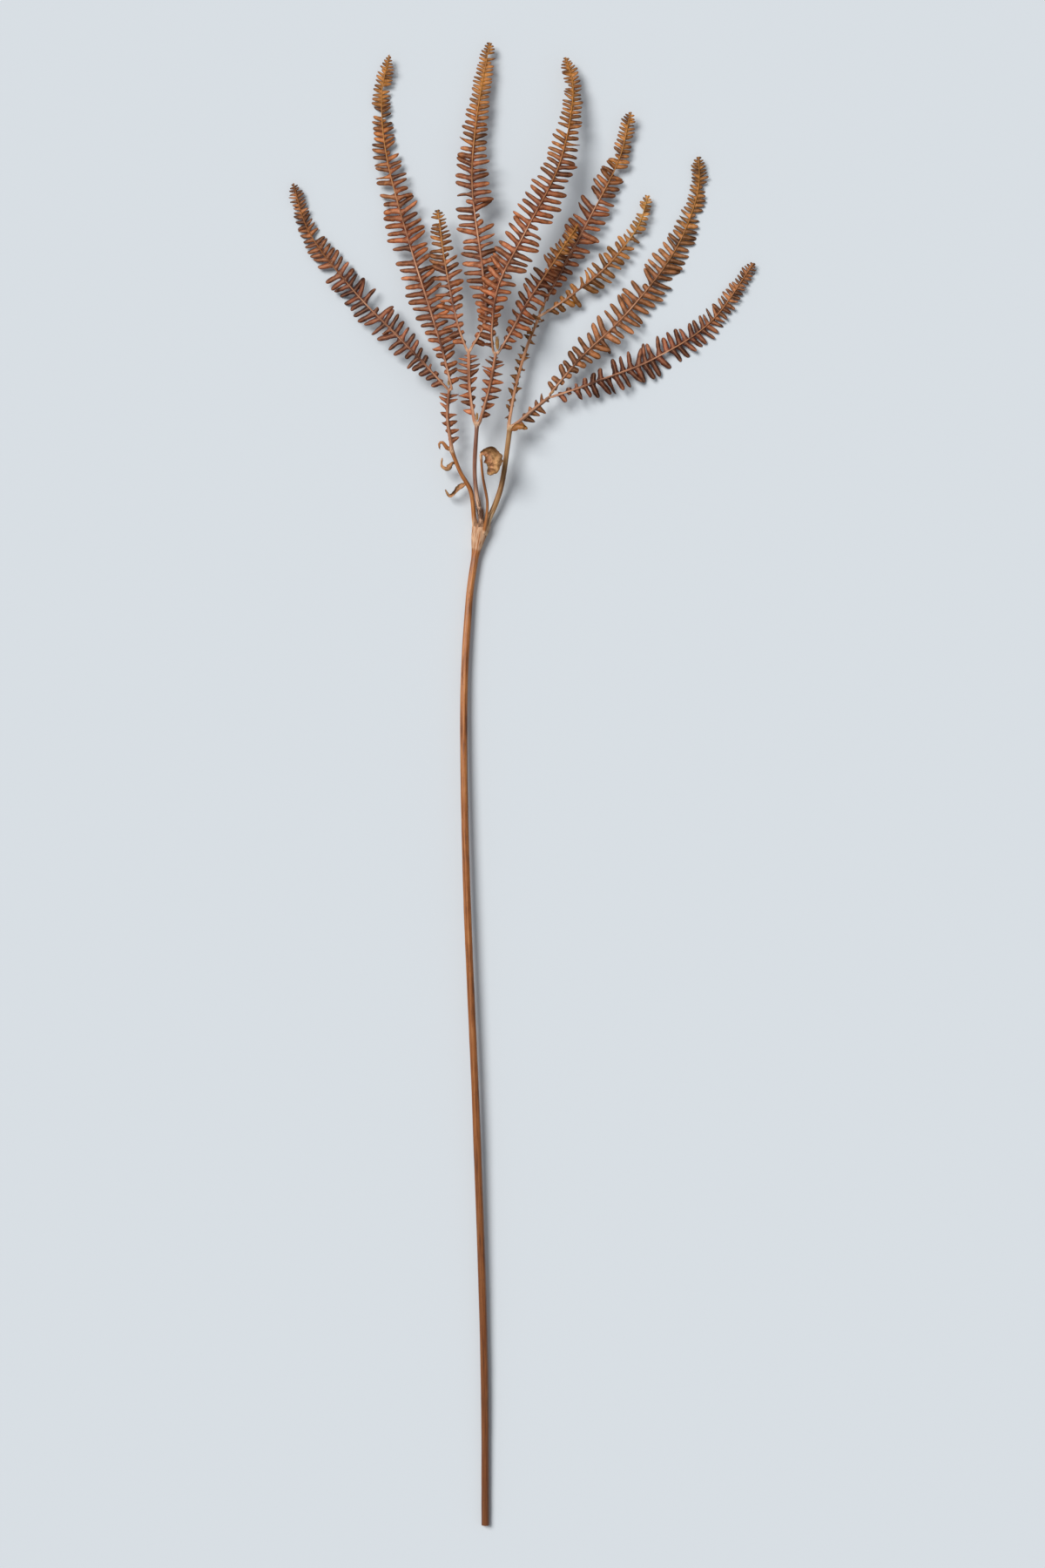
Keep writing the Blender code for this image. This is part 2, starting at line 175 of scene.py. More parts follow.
def draw_stalk(work, spine, radius, sides, step, domes, pale=None, shift=0.0):
    """Draws a ring out along a spine. radius reads a distance and an angle; domes are the
    lengths over which its start and its end are rounded, and a start of 0 is cut flat."""
    turn = work.verts.layers.float["turn"]
    chalk = work.verts.layers.float["pale"]
    grain = work.verts.layers.float_vector["grain"]
    blade = work.verts.layers.float_vector["blade"]
    circle = bmesh.ops.create_circle(work, cap_ends=False, segments=sides, radius=1.0)["verts"]
    for vertex in circle:
        vertex[turn] = math.atan2(vertex.co.y, vertex.co.x)
    ring = list(circle)
    edges = list(dict.fromkeys(edge for vertex in ring for edge in vertex.link_edges))
    first_edges = edges
    foot, tip = domes
    body = spine.length - foot - tip
    count = max(2, round(body / step))
    rings = []
    if foot:
        rings += [(foot * (1 - math.sin(lift)), math.cos(lift)) for lift in DOME_RINGS[:0:-1]]
    rings += [(foot + body * index / count, 1.0) for index in range(count)]
    rings += [(foot + body + tip * math.sin(lift), math.cos(lift)) for lift in DOME_RINGS]
    for number, (distance, shrink) in enumerate(rings):
        if number:
            drawn = bmesh.ops.extrude_edge_only(work, edges=edges)["geom"]
            ring = [item for item in drawn if isinstance(item, bmesh.types.BMVert)]
            edges = [item for item in drawn if isinstance(item, bmesh.types.BMEdge)]
        place = spine.place(distance)
        right, up = spine.frame(distance)
        for vertex in ring:
            angle = vertex[turn]
            reach = radius(distance, angle) * shrink
            across, height = math.cos(angle) * reach, math.sin(angle) * reach
            vertex.co = place + right * across + up * (height + shift)
            vertex[grain] = (across, height, distance)
            vertex[blade] = (distance / spine.length, 0.0, 0.5)
            vertex[chalk] = pale(distance) if pale else 0.0
    bmesh.ops.contextual_create(work, geom=first_edges)
    bmesh.ops.contextual_create(work, geom=edges)


def finish_piece(name, work, materials, slot, *nodes):
    """Turns a bmesh into a shown piece that stands for its CAD nodes."""
    for vertex in work.verts:
        vertex.co.z = max(vertex.co.z, 0.0)  # nothing dips into the tabletop
    mesh = bpy.data.meshes.new(name)
    work.to_mesh(mesh)
    work.free()
    mesh.shade_smooth()
    mesh.set_sharp_from_angle(angle=math.radians(50))
    for material in materials:
        mesh.materials.append(material)
    piece = bpy.data.objects.new(name, mesh)
    bpy.context.scene.collection.objects.link(piece)
    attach(piece, "root")
    if nodes:
        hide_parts(*nodes)


def put(tree, kind, inputs=None, **settings):
    """Adds a shader node, with its settings and with values or links for its inputs."""
    node = tree.nodes.new("ShaderNode" + kind)
    for key, value in settings.items():
        setattr(node, key, value)
    for key, value in (inputs or {}).items():
        if isinstance(value, bpy.types.NodeSocket):
            tree.links.new(value, node.inputs[key])
        else:
            node.inputs[key].default_value = value
    return node


def start_material(name, roughness):
    material = bpy.data.materials.new(name)
    material.use_nodes = True
    tree = material.node_tree
    shader = tree.nodes["Principled BSDF"]
    shader.inputs["Roughness"].default_value = roughness
    shader.inputs["IOR"].default_value = 1.45
    return material, tree, shader


def ramp(tree, factor, *stops):
    """A colour ramp through (place, colour) stops."""
    node = put(tree, "ValToRGB", {"Fac": factor})
    elements = node.color_ramp.elements
    while len(elements) < len(stops):
        elements.new(0.5)
    for element, (place, colour) in zip(elements, stops):
        element.position = place
        element.color = (*colour, 1.0)
    return node.outputs["Color"]


def mix(tree, factor, first, second):
    """Mixes two colours; a factor or a colour is a value or a link."""
    node = put(tree, "Mix", data_type="RGBA")
    sockets = (node.inputs[0], node.inputs[6], node.inputs[7])
    for socket, value in zip(sockets, (factor, first, second)):
        if isinstance(value, bpy.types.NodeSocket):
            tree.links.new(value, socket)
        else:
            socket.default_value = value if isinstance(value, float) else (*value, 1.0)
    return node.outputs[2]


def calculate(tree, operation, first, second=0.5, third=0.0):
    node = put(tree, "Math", operation=operation)
    for socket, value in zip(node.inputs, (first, second, third)):
        if isinstance(value, bpy.types.NodeSocket):
            tree.links.new(value, socket)
        else:
            socket.default_value = value
    return node.outputs[0]


def fade(tree, value, low, high, at_low=0.0, at_high=1.0):
    """Passes from one number to another while a value passes from low to high."""
    ends = {"From Min": low, "From Max": high, "To Min": at_low, "To Max": at_high}
    return put(tree, "MapRange", {"Value": value, **ends}).outputs[0]


def speckle(tree, place, scale, detail, stretch=None, roughness=0.5):
    """Noise through a place, drawn out along the axes whose stretch is small."""
    if stretch:
        place = put(tree, "Mapping", {"Vector": place, "Scale": stretch}).outputs[0]
    inputs = {"Vector": place, "Scale": scale, "Detail": detail, "Roughness": roughness}
    return put(tree, "TexNoise", inputs).outputs["Fac"]


def read_attribute(tree, name, output="Vector"):
    return put(tree, "Attribute", attribute_name=name).outputs[output]


def dry_stalk(name, dark, body, light, chalk, roughness, foot_dark_reach=0.0, tip=None):
    """Dry stalk skin: streaks along it, patches, specks, cracks and a pale fibrous bloom.

    browned is how far up from its foot a long stalk is darkened, in metres.
    tip is the colour that a midrib takes on towards its end."""
    material, tree, shader = start_material(name, roughness)
    grain = read_attribute(tree, "grain")
    pale = read_attribute(tree, "pale", "Fac")
    streaks = speckle(tree, grain, 1500.0, 5.0, (1.0, 1.0, 0.035))
    patches = speckle(tree, grain, 55.0, 4.0)
    specks = speckle(tree, grain, 2100.0, 2.0, (1.0, 1.0, 0.3))
    cracks = speckle(tree, grain, 3200.0, 2.0, (1.0, 1.0, 0.012))
    shade = calculate(tree, "MULTIPLY_ADD", streaks, 0.6, calculate(tree, "MULTIPLY", patches, 0.4))
    colour = ramp(tree, shade, (0.36, dark), (0.5, body), (0.64, light))
    # the stalk is darker towards its foot
    if foot_dark_reach:
        along = put(tree, "SeparateXYZ", {"Vector": grain}).outputs[2]
        darker_to_foot = fade(tree, along, 0.0, foot_dark_reach, 0.98, 0.0)
        darker_to_foot = calculate(tree, "MULTIPLY", darker_to_foot, calculate(tree, "ADD", patches, 0.35))
        colour = mix(tree, darker_to_foot, colour, dark)
    if tip:
        share = put(tree, "SeparateXYZ", {"Vector": read_attribute(tree, "blade")}).outputs[0]
        colour = mix(tree, fade(tree, share, 0.45, 0.8, 0.0, 0.8), colour, tip)
    # dark specks and fine lengthwise cracks
    dots = fade(tree, specks, 0.62, 0.72)
    colour = mix(tree, calculate(tree, "MULTIPLY", dots, 0.6), colour, dark)
    lines = fade(tree, cracks, 0.60, 0.70, 0.0, 0.55)
    colour = mix(tree, lines, colour, dark)
    # the pale bloom, ragged at its edge
    ragged = calculate(tree, "MULTIPLY_ADD", streaks, 1.1, calculate(tree, "SUBTRACT", pale, 0.55))
    bloom = fade(tree, ragged, 0.30, 0.62)
    bright_chalk = tuple(min(channel * 1.25, 1.0) for channel in chalk)
    fibre = ramp(tree, streaks, (0.36, body), (0.47, chalk), (0.62, bright_chalk))
    colour = mix(tree, bloom, colour, fibre)
    tree.links.new(colour, shader.inputs["Base Color"])
    dull = calculate(tree, "MULTIPLY_ADD", streaks, 0.3, roughness - 0.15)
    dull = calculate(tree, "MULTIPLY_ADD", bloom, 0.3, dull)
    tree.links.new(dull, shader.inputs["Roughness"])
    height = calculate(tree, "MULTIPLY_ADD", specks, 0.25, streaks)
    height = calculate(tree, "MULTIPLY_ADD", lines, -0.5, height)
    bump = put(tree, "Bump", {"Height": height, "Strength": 0.7, "Distance": 0.00016}).outputs[0]
    tree.links.new(bump, shader.inputs["Normal"])
    return material


STIPE_ROUTE = [
    (3.0, -506.0, 2.0),
    (2.4, -420.0, 3.4),
    (-1.5, -300.0, 5.6),
    (-6.5, -180.0, 6.0),
    (-8.0, -90.0, 4.6),
    (-5.6, -38.0, 3.4),
    (-2.6, -14.0, 3.2),
    (0.8, 4.9, 3.5),
]
STIPE_RADIUS = 1.9
STIPE_SIDES = 28
STIPE_STEP = 1.8
STIPE_TAPER = 0.05  # how much thicker the stipe is at its foot, as a share
STIPE_TOP_DOME = 2.4
KNUCKLE_RADIUS = 3.1
KNUCKLE_SPAN = 18.0  # how far down the stipe the knuckle's swelling begins
KNUCKLE_FULL = 0.92  # the share of that span after which it has its full width
KNUCKLE_ONSET = 1.6  # how gently the swelling begins
KNUCKLE_FLATNESS = 0.36  # how much wider than high the knuckle is
GROOVE_ANGLE = 1.9  # the side of the stipe that the groove runs along, in radians
# depths, as shares of the radius
RIB_DEPTH = 0.03
FINE_RIB_DEPTH = 0.02
GROOVE_DEPTH = 0.10
BROAD_SWELLING = 0.05
SHORT_SWELLING = 0.03
FURROW_DEPTH = 0.09
LUMP_DEPTH = 0.09
stipe_spine = Spine(STIPE_ROUTE)
stipe_skin = dry_stalk(
    "caramel_stipe_skin", (0.10, 0.030, 0.009), (0.39, 0.130, 0.030), (0.56, 0.23, 0.070),
    (0.54, 0.32, 0.19), 0.34, foot_dark_reach=0.46
)


def knuckle_swell(distance):
    """0 on the stipe, 1 at the knuckle's top."""
    share = 1 - (stipe_spine.length - distance) / (KNUCKLE_SPAN * MM)
    return math.sin(math.pi / 2 * min(max(share, 0.0) / KNUCKLE_FULL, 1.0)) ** KNUCKLE_ONSET


def stipe_radius(distance, angle):
    """Shallow ribs and a groove, slow swellings, then the wide flat furrowed knuckle."""
    swell = knuckle_swell(distance)
    ribs = RIB_DEPTH * math.cos(6 * angle + 9 * distance) + FINE_RIB_DEPTH * math.sin(11 * angle)
    groove = GROOVE_DEPTH * max(math.cos(angle - GROOVE_ANGLE), 0.0) ** 8
    slow = BROAD_SWELLING * noise.noise(Vector((distance * 28, 0.3, 0.7)))
    slow += SHORT_SWELLING * noise.noise(Vector((distance * 130, 4.3, 0.7)))
    furrows = noise.noise(Vector((3.4 * math.cos(angle), 3.4 * math.sin(angle), distance * 150)))
    lumps = noise.noise(Vector((1.6 * math.cos(angle), 1.6 * math.sin(angle), distance * 420 + 5)))
    taper = 1 + STIPE_TAPER - STIPE_TAPER * distance / stipe_spine.length
    radius = STIPE_RADIUS * taper * (1 + ribs - groove + slow)
    uneven = FURROW_DEPTH * furrows + LUMP_DEPTH * lumps
    radius += (KNUCKLE_RADIUS - STIPE_RADIUS) * swell + KNUCKLE_RADIUS * swell * uneven
    wide = 1 + KNUCKLE_FLATNESS * swell * math.cos(angle) ** 2
    return radius * wide * MM


def stipe_pale(distance):
    """The fibrous bark covers the upper two thirds of the knuckle, and its lower edge is ragged."""
    return min(max((knuckle_swell(distance) - 0.12) / 0.3, 0.0), 1.0)


stipe = start_work()
stipe_domes = (0.0, STIPE_TOP_DOME * MM)
draw_stalk(stipe, stipe_spine, stipe_radius, STIPE_SIDES, STIPE_STEP * MM, stipe_domes, stipe_pale)
caps = [face for face in stipe.faces if len(face.verts) > 4]
foot = min(caps, key=lambda face: face.calc_center_median().y)
# The cut shows a bevelled rind, then two rings of pale pith that has shrunk back.
RIND = (0.32, 0.12)
PITH_RINGS = ((0.25, -0.08, 0.75), (0.4, -0.12, 0.95))  # width, depth and paleness
bmesh.ops.inset_region(stipe, faces=[foot], thickness=RIND[0] * MM, depth=RIND[1] * MM)
pith = stipe.verts.layers.float["pale"]
for thickness, depth, paleness in PITH_RINGS:
    bmesh.ops.inset_region(stipe, faces=[foot], thickness=thickness * MM, depth=depth * MM)
    for vertex in foot.verts:
        vertex[pith] = paleness
bmesh.ops.recalc_face_normals(stipe, faces=stipe.faces)
finish_piece("dried_stipe", stipe, [stipe_skin], "stipe_caramel", "stipe")

# ------------------------------------------------------------------ arms, thin stalk and stub
# Three bare arms leave the knuckle, tan to yellow and finely ribbed, each with a swollen end
# where it forks. A thin orange stalk rises between them, and a hooked stub is left of a branch.
# name: (route, radius at its foot and at its end, skin, how far up the pale fibres reach)
ARMS = {
    "left_arm": ([(-1.5, -1.0, 3.5), (-2.2, 3.2, 3.5), (-2.7, 7.0, 3.7), (-4.4, 21, 5.5),
                  (-9.8, 31, 7.5), (-14.6, 43.0, 9.7)], 1.2, 0.95, "orange", 9.0),
    "middle_arm": ([(0.6, -1.0, 3.2), (0.8, 3.6, 3.0), (0.8, 7.0, 3.1), (-1.5, 20, 4.6), (-2.4, 34, 9.0),
                    (-1.0, 55.8, 16.3)], 1.15, 1.05, "pink", 22.0),
    "right_arm": ([(1.9, -1.5, 3.6), (3.3, 3.2, 3.6), (4.7, 7.2, 3.9), (8.6, 16, 5.0), (12, 28, 7.0),
                   (15.8, 54.8, 11.1)], 1.5, 1.3, "tan", 13.0),
    "bud_stalk": ([(2.2, -0.6, 5.2), (2.8, 3.0, 6.2), (3.4, 6.4, 7.0), (4.0, 15.6, 9.0), (1.8, 28, 12.5),
                   (0.8, 39.4, 15.9)], 0.76, 0.58, "orange", 2.0),
    "left_stub": ([(-14.7, 42.4, 9.5), (-16.4, 42.8, 9.7), (-18.6, 45.6, 10), (-20.4, 45.2, 9.6),
                   (-20.2, 43.2, 9)], 0.85, 0.5, "orange", 1.0),
}
ARM_SKINS = {
    "orange": dry_stalk("orange_arm_skin", (0.13, 0.038, 0.010), (0.38, 0.135, 0.034),
                        (0.56, 0.25, 0.085), (0.60, 0.37, 0.22), 0.40),
    "pink": dry_stalk("pink_arm_skin", (0.12, 0.040, 0.024), (0.29, 0.13, 0.082),
                      (0.44, 0.23, 0.155), (0.58, 0.37, 0.25), 0.55),
    "tan": dry_stalk("tan_arm_skin", (0.15, 0.060, 0.018), (0.36, 0.185, 0.068),
                     (0.56, 0.36, 0.165), (0.62, 0.42, 0.25), 0.48),
}
ARM_SIDES = 16
ARM_STEP = 1.1
ARM_RIB_DEPTH = 0.07
ARM_FINE_RIB_DEPTH = 0.035
ARM_SWELLING = 0.08
FORK_SWELL = 0.32  # how much an arm swells where it forks
FORK_SWELL_PLACE = 1.2  # how far from its end
FORK_SWELL_SPAN = 1.9
ARM_FOOT_SWELL = 0.34
ARM_FOOT_SPAN = 6.0
BROKEN = "left_stub"
BROKEN_END_SWELL = -0.1
SPLINTER_SPAN = 1.2  # how much of the broken end is splintered
SPLINTER_LENGTH = 2.6
for name, (points, start_radius, end_radius, skin, fibres_up) in ARMS.items():
    spine = Spine(points)
    rng = random.Random(name)
    phase = rng.uniform(0, 6)
    end_swell = BROKEN_END_SWELL if name == BROKEN else FORK_SWELL

    def arm_radius(distance, angle):
        share = distance / spine.length
        body = start_radius + (end_radius - start_radius) * share
        ribs = ARM_RIB_DEPTH * math.cos(4 * angle + phase)
        ribs += ARM_FINE_RIB_DEPTH * math.cos(7 * angle + 30 * distance)
        slow = ARM_SWELLING * noise.noise(Vector((distance * 90, phase, 0.2)))
        to_end = (spine.length - distance) / MM
        knob = end_swell * math.exp(-((to_end - FORK_SWELL_PLACE) / FORK_SWELL_SPAN) ** 2)
        foot = ARM_FOOT_SWELL * math.exp(-(distance / MM / ARM_FOOT_SPAN) ** 2)
        return body * (1 + ribs + slow + knob + foot) * MM

    def arm_pale(distance):
        """Pale at the foot as far as the fibres reach, and at a forked end."""
        to_end = (spine.length - distance) / MM
        end = math.exp(-(to_end / 3.0) ** 2) if fibres_up > 1 else 0.0
        return max(end, math.exp(-(distance / MM / fibres_up) ** 2))

    arm = start_work()
    domes = (start_radius * MM, end_radius * 1.2 * MM)
    draw_stalk(arm, spine, arm_radius, ARM_SIDES, ARM_STEP * MM, domes, arm_pale)
    if name == BROKEN:
        turn = arm.verts.layers.float["turn"]
        grain = arm.verts.layers.float_vector["grain"]
        end = spine.length - SPLINTER_SPAN * MM
        for vertex in arm.verts:
            past = max(vertex[grain].z - end, 0.0)
            around = Vector((2.2 * math.cos(vertex[turn]), 2.2 * math.sin(vertex[turn]), phase))
            splinter = 0.4 + SPLINTER_LENGTH * noise.noise(around)
            vertex.co += spine.forward(spine.length) * past * splinter
    bmesh.ops.recalc_face_normals(arm, faces=arm.faces)
    finish_piece("dried_" + name, arm, [ARM_SKINS[skin]], "arm_tan", name)

# ------------------------------------------------------------------ pinnae
# Each pinna is a papery comb. Its midrib is a pale raised rib, and close narrow lobes stand out
# on both sides with their bases joined. Drying has rolled their edges, cupped and twisted them.
PAPER = 0.22
FORK_OPENING = 0.25
# A lobe's cells: how far out each column stands, and its width as a share of the pitch.
LOBE_CELLS = (0.0, 0.07, 0.12, 0.16, 0.22, 0.34, 0.48, 0.62, 0.75, 0.85, 0.92, 0.97, 1.0)
LOBE_WIDTHS = (1.0, 1.0, 0.95, 0.84, 0.77, 0.74, 0.75, 0.74, 0.69, 0.61, 0.50, 0.34, 0.12)
# near a pinna's tip the lobes are joined almost half-way out
JOINED_WIDTHS = (1.0, 1.0, 1.0, 1.0, 1.0, 0.97, 0.88, 0.78, 0.68, 0.58, 0.46, 0.30, 0.10)
JOINED_START = 0.62  # the share of a pinna where they begin to join
# the broad pointed lobes of the branches
TOOTH_WIDTHS = (1.0, 0.99, 0.96, 0.92, 0.86, 0.77, 0.67, 0.56, 0.44, 0.33, 0.23, 0.14, 0.05)
ACROSS_CELLS = (-1.0, -0.55, 0.0, 0.55, 1.0)  # from one edge of a lobe to the other
WEB_END = 0.11  # how far out the lobes are joined to their neighbours
SETTLE_SPAN = 0.3  # how far out a lobe reaches its full curl
CREASE_DEPTH = 0.07
FLUTTERS = 7  # waves along a lobe's edges, in radians
SHORTENING = 0.10  # how much less far a drooping lobe reaches
# How the lobes change along a pinna.
SHORT_FOOT = 0.5  # length of a pinna's first lobes, as a share of its longest
FOOT_SHARE = 0.22  # the share of a pinna over which they grow to full length
TAPER_START = 0.45  # where they begin to shorten again
TAPER_SPAN = 0.50
TAPER_DEPTH = 0.55
TIP_SHARE = 0.05  # the last lobes close up to a blunt tip
FIRST_PITCH = 4.3
PITCH_FALL = 0.7  # from a pinna's foot to its tip
CROWDING = 2.1  # and this much more over its upper half
CROWDING_POWER = 1.25


def lobe_pitch(share):
    """The lobes stand closer and closer towards the pinna's tip."""
    upper = max(2 * share - 1, 0.0)
    return (FIRST_PITCH - PITCH_FALL * share - CROWDING * upper**CROWDING_POWER) * MM


def lobe_length(share, longest):
    """Shorter at the pinna's base, then even, then tapering to its tip."""
    base = SHORT_FOOT + (1 - SHORT_FOOT) * min(share / FOOT_SHARE, 1.0)
    tapered = min(max((share - TAPER_START) / TAPER_SPAN, 0.0), 1.0)
    taper = 1.0 - TAPER_DEPTH * tapered**2 * (3 - 2 * tapered)
    blunt = math.sqrt(min((1 - share) / TIP_SHARE, 1.0))
    return longest * min(base, taper) * blunt


def draw_lobe(work, spine, roll, side, start, pitch, reach, form):
    """One lobe: a small grid bent to a blunt blade whose base runs along the midrib."""
    blade = work.verts.layers.float_vector["blade"]
    grain = work.verts.layers.float_vector["grain"]
    columns, rows = len(LOBE_CELLS) - 1, len(ACROSS_CELLS) - 1
    cells = bmesh.ops.create_grid(work, x_segments=columns, y_segments=rows, size=0.5)["verts"]
    middle = start + pitch / 2
    lean = form["lean"]
    for vertex in cells:
        column = round((vertex.co.x + 0.5) * columns)
        out = LOBE_CELLS[column]
        beside = ACROSS_CELLS[round((vertex.co.y + 0.5) * rows)]
        half = form["widths"][column] * pitch / 2 * (form["width"] if out > WEB_END else 1.0)
        half *= 1 + form["ragged"] * noise.noise(Vector((out * 5, beside * 2, form["chance"] * 40)))
        # the lobe's middle line leans, bows and droops
        along = reach * (math.sin(lean) * out + 0.5 * form["bow"] * out * out)
        across = reach * math.cos(lean) * out * (1 - SHORTENING * abs(form["fall"]) * out * out)
        height = reach * (form["rise"] * out - 0.5 * form["fall"] * out * out)
        # its sides roll under, and it twists and flutters
        settle = min(out / SETTLE_SPAN, 1.0)
        rolled = max(form["curl"] * settle, 0.05)
        shift = half * math.sin(beside * rolled) / rolled
        sink = half * (1 - math.cos(beside * rolled)) / rolled
        crease = CREASE_DEPTH * MM * settle * (1 - abs(beside))
        twist = form["twist"] * out
        phase = FLUTTERS * out + form["chance"] * 20
        wave = form["flutter"] * half * settle * math.sin(phase) * beside
        turned = shift * math.cos(twist) + sink * math.sin(twist)
        along += turned * math.cos(lean * settle)
        across -= turned * math.sin(lean * settle)
        height += shift * math.sin(twist) - sink * math.cos(twist) - crease + wave
        across = max(across, 0.0)
        distance = middle + along
        right, up = spine.frame(distance, roll(distance / spine.length))
        vertex.co = spine.place(distance) + right * (side * across) + up * height
        vertex.co.z = max(vertex.co.z, (PAPER + 0.1) * MM)
        vertex[blade] = (middle / spine.length, out, form["chance"])
        vertex[grain] = (beside, out * reach, form["chance"] * 7)
    if side < 0:
        faces = list(dict.fromkeys(face for vertex in cells for face in vertex.link_faces))
        bmesh.ops.reverse_faces(work, faces=faces)


# How the lobes differ, in degrees for the angles and otherwise as shares of a lobe's length or
# width. Neighbours drift together (wave), and each one strays on its own (wild).
LEAN, LEAN_GROWTH, LEAN_DRIFT, LEAN_STRAY = 13, 3, 13, 4.6
BOW, BOW_DRIFT, BOW_STRAY = 0.05, 0.26, 0.12
RISE, RISE_DRIFT, RISE_STRAY = 0.10, 0.28, 0.06
FALL, FALL_DRIFT, FALL_STRAY = 0.50, 0.55, 0.18
CURL, CURL_STRAY = 0.5, 0.9
TWIST_DRIFT, TWIST_STRAY = 26, 15
REACH_STRAY = 0.065
FLUTTER = 0.14
RAGGEDNESS = 0.16
TURNED_ODDS, ROLLED_ODDS, BROKEN_ODDS = 0.07, 0.12, 0.145  # running totals
MISSING_FROM = 0.978  # and past this number a lobe has fallen off
KEPT_FOOT = 0.15  # but none has fallen off so near a pinna's foot


def draw_blade(work, spine, longest, roll, fork_side, rule, widths, wild, rng):
    """All the lobes of a pinna, each a little different, some rolled, turned or broken."""
    for side in (-1, 1):
        drift = rng.uniform(0, 9)
        start = rng.uniform(0.0, 0.6) * lobe_pitch(0)
        while start < spine.length - 0.6 * MM:
            pitch = lobe_pitch(start / spine.length) * rng.uniform(0.93, 1.07)
            middle = start + pitch / 2
            share = min(middle / spine.length, 1.0)
            reach = rule(share, longest) * MM * rng.gauss(1.0, REACH_STRAY)
            if side == fork_side:
                reach = min(reach, max(middle * FORK_OPENING, 0.8 * MM))
            wave = noise.noise(Vector((middle * 75 + drift, side * 3.1, 0.0)))
            odd = rng.random()
            joined = 0.0
            if widths is LOBE_WIDTHS:
                joined = max(share - JOINED_START, 0.0) / (1 - JOINED_START)
            joined = min(1.4 * joined, 1.0)
            strayed = LEAN_DRIFT * wave + rng.gauss(0, LEAN_STRAY) * wild
            form = {
                "widths": [free + (near - free) * joined for free, near in zip(widths, JOINED_WIDTHS)],
                "lean": math.radians(LEAN + LEAN_GROWTH * share + strayed * (1 - 0.5 * joined)),
                "bow": BOW + BOW_DRIFT * wave + rng.gauss(0, BOW_STRAY) * wild,
                "rise": RISE - RISE_DRIFT * wave + rng.gauss(0, RISE_STRAY) * wild,
                "fall": FALL + FALL_DRIFT * wave + rng.gauss(0, FALL_STRAY) * wild,
                "curl": CURL + CURL_STRAY * rng.random() ** 2 * wild,
                "twist": math.radians(rng.gauss(0, TWIST_STRAY) * wild + TWIST_DRIFT * wave),
                "width": rng.uniform(0.84, 1.10) * (1 - joined) + joined,
                "flutter": FLUTTER * rng.random() * wild,
                "ragged": RAGGEDNESS * wild,
                "chance": rng.random(),
            }
            form["twist"] *= 1 - 0.7 * joined
            if odd < TURNED_ODDS * wild:
                form["twist"] += math.radians(rng.choice((-1, 1)) * rng.uniform(30, 75))
            elif odd < ROLLED_ODDS * wild:
                form["fall"] += rng.uniform(0.6, 1.2)
                form["curl"] += 0.7
            elif odd < BROKEN_ODDS * wild:
                reach *= rng.uniform(0.3, 0.6)
            if odd < MISSING_FROM or share < KEPT_FOOT:
                draw_lobe(work, spine, roll, side, start, pitch, max(reach, 0.7 * MM), form)
            start += pitch


def thicken(work):
    """Gives every blade its paper thickness, with the new undersides in the second material."""
    blades = list(work.faces)
    made = bmesh.ops.solidify(work, geom=blades, thickness=PAPER * MM)["geom"]
    for item in made:
        if isinstance(item, bmesh.types.BMFace):
            item.material_index = 1


